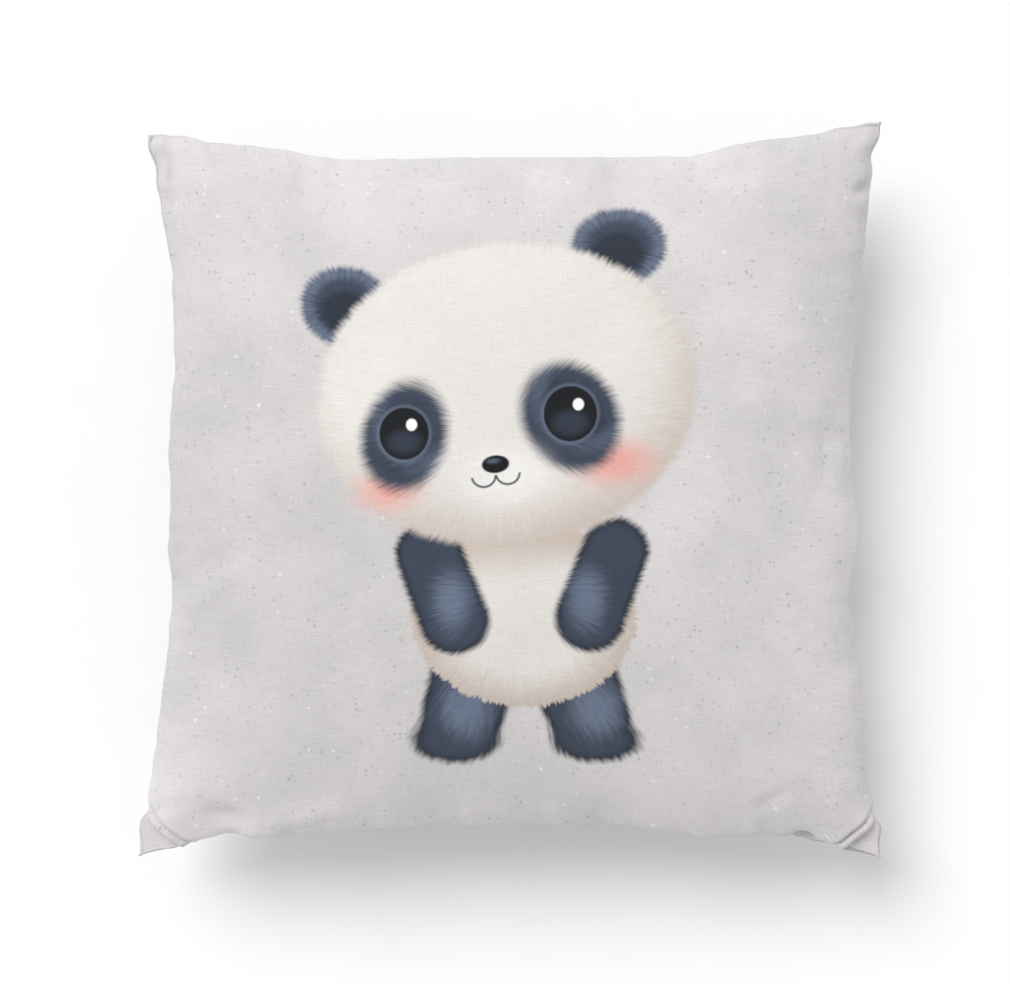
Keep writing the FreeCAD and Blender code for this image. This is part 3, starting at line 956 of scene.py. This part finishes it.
def nylon_material():
    """Slightly translucent-looking nylon filament."""
    material, tree, (x, y, z) = new_material("coil_nylon")
    tone = noise(vector(x, y, z), 0.8, 3.0)
    colour = paint(tone.step(0.3, 0.7), shade("CFCCC7"), shade("E6E3DF"))
    finish_material(tree, colour, 0.28 + tone * 0.2, tone * 0.08, 0.4, IOR=1.53)
    return material


def metal_material():
    """Satin nickel plate with faint wear."""
    material, tree, (x, y, z) = new_material("zip_metal")
    brushed = noise(vector(x * 6.0, y, z * 0.6), 1.0, 3.0)
    worn = noise(vector(x, y, z), 0.6, 2.0)
    colour = paint((brushed + worn * 0.5).step(0.4, 1.1), shade("8E8F92"), shade("C4C5C8"))
    rough = 0.20 + brushed * 0.16 + worn * 0.14
    finish_material(tree, colour, rough, brushed * 0.05 + worn * 0.05, 0.35, Metallic=1.0)
    return material


def lining_material():
    """White non-woven lining, mottled and thermally dotted."""
    material, tree, (x, y, z) = new_material("lining")
    fibre = noise(vector(x, y, z), 0.9, 6.0, 0.7)
    dots = (x * 2.6).wave() * (y * 2.6).wave()
    colour = paint(fibre.step(0.3, 0.7), shade("DAD9D7"), shade("F3F2F1"))
    finish_material(tree, colour, 0.8 + fibre * 0.15, fibre * 0.25 + dots * 0.12, 0.6)
    return material


def filling_material():
    """White polyester fibre."""
    material, tree, (x, y, z) = new_material("filling")
    wisp = noise(vector(x, y, z), 0.12, 8.0, 0.75)
    curl = noise(vector(x + wisp * 20.0, y, z), 0.7, 5.0, 0.7)
    colour = paint(wisp.step(0.3, 0.7), shade("DEDEDD"), shade("F7F7F6"))
    finish_material(tree, colour, 0.85 + curl * 0.1, wisp * 1.6 + curl * 0.6, 0.9, Sheen_Weight=0.3)
    return material


# ---------------------------------------------------------------- assembly

def fit(piece, material, slot, *nodes):
    """Gives a piece its material and puts it in place of its CAD nodes. The slot argument is not used.
    """
    piece.data.materials.append(material)
    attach(piece, "cushion")
    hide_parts(*nodes)
    return piece


def build_cover(front_grid, back_grid, thread):
    """Both panels, the seam's thread and the hem topstitching."""
    a, b = np.meshgrid(panel_steps(), panel_steps(), indexing="ij")
    front = shape_panel(front_grid, a, b, 1)
    back = shape_panel(back_grid, a, b, -1)
    top = fit(build_panel("front_cover", front, a, b, 1), cloth_material("printed_cloth", True),
              "printed_cloth", "front_panel")
    low = fit(build_panel("back_cover", back, a, b, -1), cloth_material("plain_cloth", False),
              "plain_cloth", "back_panel")
    for name, points in (("upper", front), ("lower", back)):
        row = topstitch("topstitch_" + name, points)
        fit(row, thread, "thread", "zip_topstitching_" + name)
    middle = (front.reshape(-1, 3) + back.reshape(-1, 3)) / 2
    loop = middle[rim(np.arange(a.size).reshape(a.shape))] * (0.9965, 0.9965, 1)

    def closed_seam(paths):
        return (zip_share(paths[:, 0]) < 0.02) | (paths[:, 1] > -0.19)

    stitches = seam_stitches("cover_stitches", loop, 3.0 * MM, 0.5 * MM, closed_seam)
    fit(stitches, thread, "thread", "cover_seam_thread")
    return front, back


def build_pad(front, back, thread):
    """The pad: lining, its seam and the fibre inside."""
    white = lining_material()
    skins = [pad_layer(front, 1, 0), pad_layer(back, -1, 0)]
    for name, points, side in (("front", skins[0], 1), ("back", skins[1], -1)):
        lining = fit(build_lining("lining_" + name, points, side), white, "lining",
                     "pad_lining_" + name)
    core = [pad_layer(front, 1, 1 * MM), pad_layer(back, -1, 1 * MM)]
    for points in core:
        points[..., :2] *= 0.993
    filling = fit(build_filling(*core), filling_material(), "filling", "pad_filling")
    middle = (skins[0] + skins[1]).reshape(-1, 3) / 2
    loop = middle[rim(np.arange(len(middle)).reshape(skins[0].shape[:2]))] * (1.003, 1.003, 1)
    stitches = seam_stitches("pad_stitches", loop, 4.0 * MM, 0.6 * MM, lambda paths: paths[:, 0] < 9)
    fit(stitches, thread, "thread", "pad_seam_thread")


def build_zip():
    """Tapes and coils, and the metal finish of the CAD stops, slider and pull."""
    tape, nylon, metal = tape_material(), nylon_material(), metal_material()
    for name, side in (("upper", 1), ("lower", -1)):
        strip = fit(build_tape("tape_" + name, side), tape, "zip_tape", "zip_tape_" + name)
        fit(build_coil("coil_" + name, side), nylon, "coil_nylon", "zip_coil_" + name)
    for name in ("zip_top_stops", "zip_bottom_stop", "zip_slider_body", "zip_pull_tab"):
        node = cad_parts[name]
        node.data.materials.clear()
        node.data.materials.append(metal)


front_form, back_form = simulate_cover()
sewing = thread_material()
front_skin, back_skin = build_cover(front_form, back_form, sewing)
build_pad(front_skin, back_skin, sewing)
build_zip()


# ---------------------------------------------------------------- stage

def soft_sun(towards, spread, strength):
    """Broad soft key light, from a direction given from the cushion towards the light."""
    light = bpy.data.lights.new("key", "SUN")
    light.angle = spread
    light.energy = strength
    lamp = bpy.data.objects.new("key", light)
    lamp.location = towards
    lamp.rotation_mode = "QUATERNION"
    lamp.rotation_quaternion = Vector(towards).to_track_quat("Z", "Y")
    bpy.context.scene.collection.objects.link(lamp)


def build_floor():
    """Plain pale floor with a faint grain."""
    corners = [(x * FLOOR_HALF, y * FLOOR_HALF, 0) for x, y in ((-1, -1), (1, -1), (1, 1), (-1, 1))]
    floor = object_from("floor", corners, [(0, 1, 2, 3)])
    material, tree, (x, y, z) = new_material("floor_white")
    grain = noise(vector(x, y, z), 0.02, 2.0)
    colour = paint(grain.step(0.2, 0.8), shade("F6F6F6"), shade("F7F7F7"))
    finish_material(tree, colour, 0.85 + grain * 0.05, grain, 0.02, Specular_IOR_Level=0.1)
    floor.data.materials.append(material)


def build_world(low, high):
    """Even studio light, brighter at the horizon so that the floor fades into the backdrop."""
    world = bpy.data.worlds.new("studio")
    world.use_nodes = True
    tree = world.node_tree
    place = tree.nodes.new("ShaderNodeTexCoord")
    parts = tree.nodes.new("ShaderNodeSeparateXYZ")
    tree.links.new(place.outputs["Generated"], parts.inputs[0])
    height = Field(tree, parts.outputs["Z"])
    glow = height.step(0.42, 0.02) * (low - high) + high
    backdrop = tree.nodes["Background"]
    backdrop.inputs["Color"].default_value = (1, 1, 1, 1)
    tree.links.new(glow.socket, backdrop.inputs["Strength"])
    bpy.context.scene.world = world


def place_camera(width, aim):
    """Long-lens camera straight above the cushion that frames `width` metres at the seam's height."""
    lens = bpy.data.cameras.new("camera")
    lens.lens = 85
    lens.sensor_width = 36
    camera = bpy.data.objects.new("camera", lens)
    camera.location = (aim[0], aim[1], SEAM_Z + width * lens.lens / lens.sensor_width)
    bpy.context.scene.collection.objects.link(camera)
    bpy.context.scene.camera = camera


build_floor()
build_world(1.0, 0.62)
soft_sun((-0.51, 0.67, 1.0), 0.6, 1.88)
place_camera(0.601, (-0.0024, -0.0006))
bpy.context.scene.view_settings.view_transform = "Standard"
